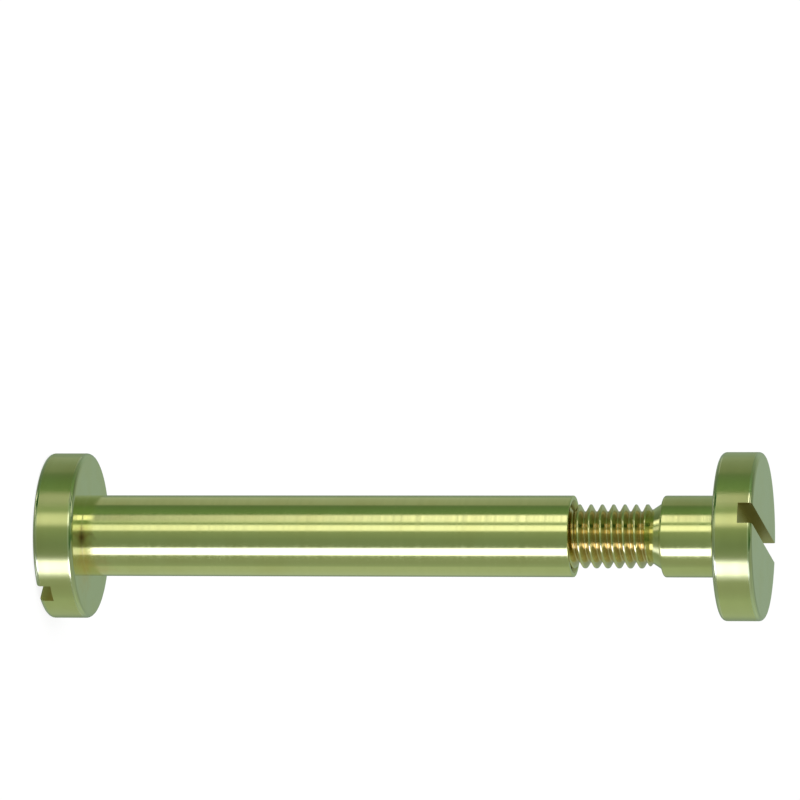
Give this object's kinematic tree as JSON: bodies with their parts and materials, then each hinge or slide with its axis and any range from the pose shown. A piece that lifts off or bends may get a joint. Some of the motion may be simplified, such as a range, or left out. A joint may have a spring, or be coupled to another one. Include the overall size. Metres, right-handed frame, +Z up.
{
  "type": "slotted barrel nut and screw",
  "caption": "Flat-headed barrel nut with a slotted shoulder screw threaded into its mouth, for clamping panels between the heads.",
  "frame": {"origin": "centre of the barrel nut head's outer face, on which the set stands", "axes": "+Z up along the common axis, from the barrel nut's head to the screw's head; -Y faces the viewer"},
  "size_m": [0.0104, 0.0104, 0.0446],
  "materials": {
    "turned_brass": "satin, fine turning marks"
  },
  "bodies": {
    "barrel_nut": {"barrel_nut": "turned_brass"},
    "screw": {"screw": "turned_brass"}
  },
  "joints": [
    {"name": "screw_travel", "type": "slide", "parent": "barrel_nut", "child": "screw", "axis": [0, 0, 1], "range_m": [-0.0056, 0.0035]}
  ]
}
